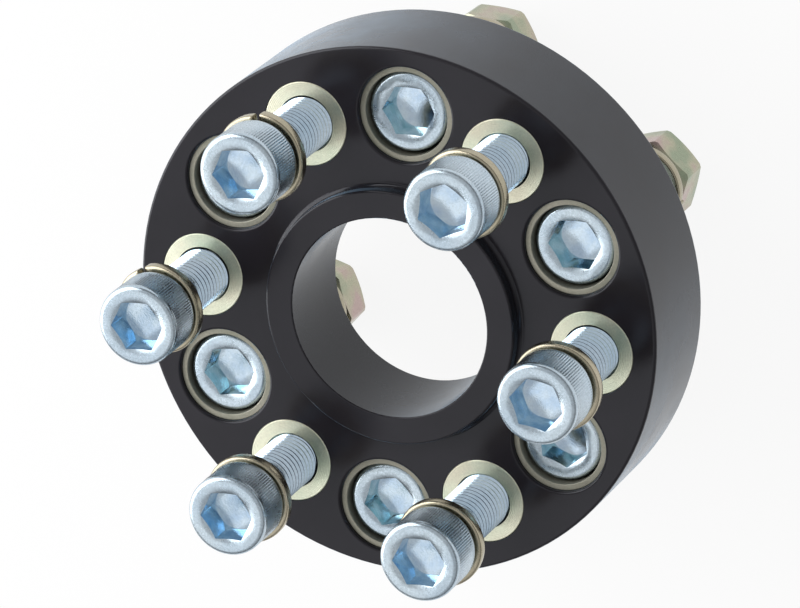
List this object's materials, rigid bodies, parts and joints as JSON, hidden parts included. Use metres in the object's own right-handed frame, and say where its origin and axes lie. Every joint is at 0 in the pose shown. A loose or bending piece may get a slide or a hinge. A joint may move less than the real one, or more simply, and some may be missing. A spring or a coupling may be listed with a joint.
{
  "type": "flexible disc coupling",
  "caption": "Flexible rubber disc coupling with bonded steel bushes, socket cap screws, spring washers and nuts, joining two shaft flanges face to face.",
  "frame": {"origin": "on the axis of the bore, in the plane of the rubber disc's front face", "axes": "+Z along the bore axis, out of the front face towards the heads of the front screws; +X through the first front screw"},
  "size_m": [0.16, 0.16, 0.1249],
  "materials": {
    "black_rubber": "matte moulded",
    "yellow_zinc_steel": "yellow zinc plated, turned",
    "yellow_zinc_washer": "yellow zinc plated spring steel",
    "yellow_zinc_nut": "yellow zinc plated, iridescent",
    "blue_zinc_steel": "bright blue-white zinc plated"
  },
  "bodies": {
    "root": {"rubber_disc": "black_rubber", "threaded_bush_1": "yellow_zinc_steel", "threaded_bush_2": "yellow_zinc_steel", "threaded_bush_3": "yellow_zinc_steel", "threaded_bush_4": "yellow_zinc_steel", "threaded_bush_5": "yellow_zinc_steel", "threaded_bush_6": "yellow_zinc_steel", "cup_bush_1": "yellow_zinc_steel", "cup_bush_2": "yellow_zinc_steel", "cup_bush_3": "yellow_zinc_steel", "cup_bush_4": "yellow_zinc_steel", "cup_bush_5": "yellow_zinc_steel", "cup_bush_6": "yellow_zinc_steel", "front_screw_1": "blue_zinc_steel", "front_screw_2": "blue_zinc_steel", "front_screw_3": "blue_zinc_steel", "front_screw_4": "blue_zinc_steel", "front_screw_5": "blue_zinc_steel", "front_screw_6": "blue_zinc_steel", "through_screw_1": "blue_zinc_steel", "through_screw_2": "blue_zinc_steel", "through_screw_3": "blue_zinc_steel", "through_screw_4": "blue_zinc_steel", "through_screw_5": "blue_zinc_steel", "through_screw_6": "blue_zinc_steel", "front_spring_washer_1": "yellow_zinc_washer", "front_spring_washer_2": "yellow_zinc_washer", "front_spring_washer_3": "yellow_zinc_washer", "front_spring_washer_4": "yellow_zinc_washer", "front_spring_washer_5": "yellow_zinc_washer", "front_spring_washer_6": "yellow_zinc_washer", "rear_spring_washer_1": "yellow_zinc_washer", "rear_spring_washer_2": "yellow_zinc_washer", "rear_spring_washer_3": "yellow_zinc_washer", "rear_spring_washer_4": "yellow_zinc_washer", "rear_spring_washer_5": "yellow_zinc_washer", "rear_spring_washer_6": "yellow_zinc_washer", "hexagon_nut_1": "yellow_zinc_nut", "hexagon_nut_2": "yellow_zinc_nut", "hexagon_nut_3": "yellow_zinc_nut", "hexagon_nut_4": "yellow_zinc_nut", "hexagon_nut_5": "yellow_zinc_nut", "hexagon_nut_6": "yellow_zinc_nut"}
  },
  "joints": []
}
